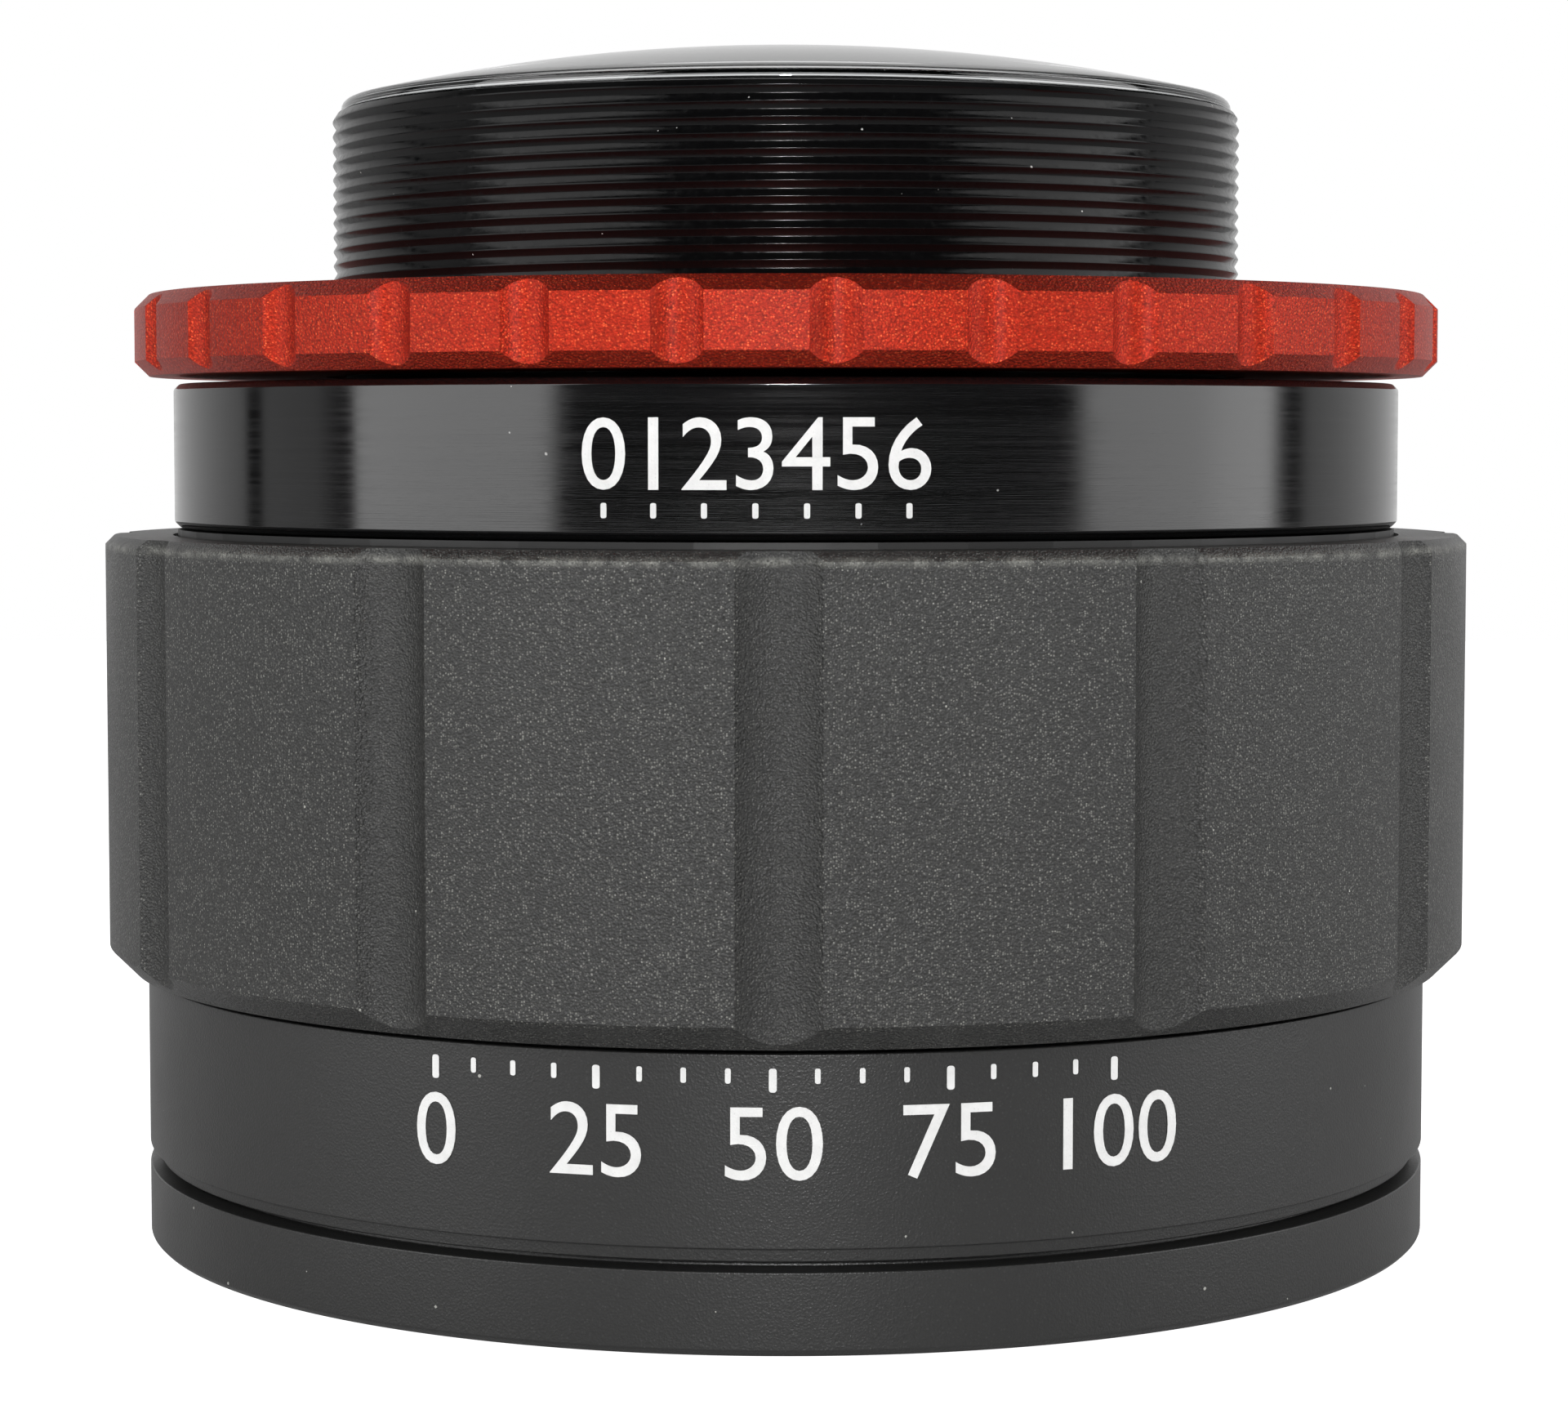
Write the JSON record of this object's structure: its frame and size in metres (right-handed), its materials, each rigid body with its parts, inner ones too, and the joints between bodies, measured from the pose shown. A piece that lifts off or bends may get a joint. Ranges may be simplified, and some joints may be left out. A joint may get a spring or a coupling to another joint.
{
  "type": "variable working distance microscope objective",
  "caption": "Round variable working distance objective for a stereo microscope, with a threaded neck, red lock ring, fluted grip and internally moving lens carriage.",
  "frame": {"origin": "centre of the front face, on the plane that the objective stands on", "axes": "+Z along the optical axis, from the front window towards the mounting thread; -Y is the marked side"},
  "size_m": [0.0718, 0.0718, 0.0624],
  "materials": {
    "gloss_black": "gloss black anodised, fine turned lines",
    "bead_blasted_black": "bead blasted, black anodised",
    "satin_black": "satin black anodised",
    "red_anodised": "bead blasted, red anodised",
    "inner_black": "matt black anodised",
    "lens_glass": "polished, coated",
    "window_glass": "polished, coated",
    "brass_collar": "turned",
    "steel_screw": "plain",
    "slip_plastic": "plain"
  },
  "bodies": {
    "housing": {"rear_barrel": "gloss_black", "guide_tube": "inner_black", "lower_barrel": "satin_black", "front_ring": "satin_black", "front_window": "window_glass", "window_retainer": "inner_black", "rear_crown_lens": "lens_glass", "rear_flint_lens": "lens_glass", "rear_retainer": "inner_black", "upper_slip_ring": "slip_plastic", "lower_slip_ring": "slip_plastic", "stop_screw": "steel_screw", "barrel_screw_1": "steel_screw", "barrel_screw_2": "steel_screw", "barrel_screw_3": "steel_screw"},
    "grip": {"grip_ring": "bead_blasted_black", "cam_sleeve": "inner_black", "grip_screw_1": "steel_screw", "grip_screw_2": "steel_screw", "grip_screw_3": "steel_screw"},
    "carriage": {"lens_carriage": "inner_black", "moving_flint_lens": "lens_glass", "moving_crown_lens": "lens_glass", "moving_retainer": "inner_black", "follower_pin_1": "steel_screw", "follower_pin_2": "steel_screw", "follower_pin_3": "steel_screw", "follower_collar_1": "brass_collar", "follower_collar_2": "brass_collar", "follower_collar_3": "brass_collar"},
    "lock": {"lock_ring": "red_anodised"}
  },
  "joints": [
    {"name": "focus_turn", "type": "hinge", "parent": "housing", "child": "grip", "pos_m": [0, 0, 0.0256], "axis": [0, 0, 1], "range_deg": [0, 110]},
    {"name": "carriage_slide", "type": "slide", "parent": "housing", "child": "carriage", "axis": [0, 0, 1], "range_m": [0, 0.008]},
    {"name": "lock_ring_turn", "type": "hinge", "parent": "housing", "child": "lock", "pos_m": [0, 0, 0.0473], "axis": [0, 0, 1], "continuous": true}
  ],
  "couplings": [
    {"joint": "carriage_slide", "follows": "focus_turn", "m_per_rad": 0.0041669}
  ]
}
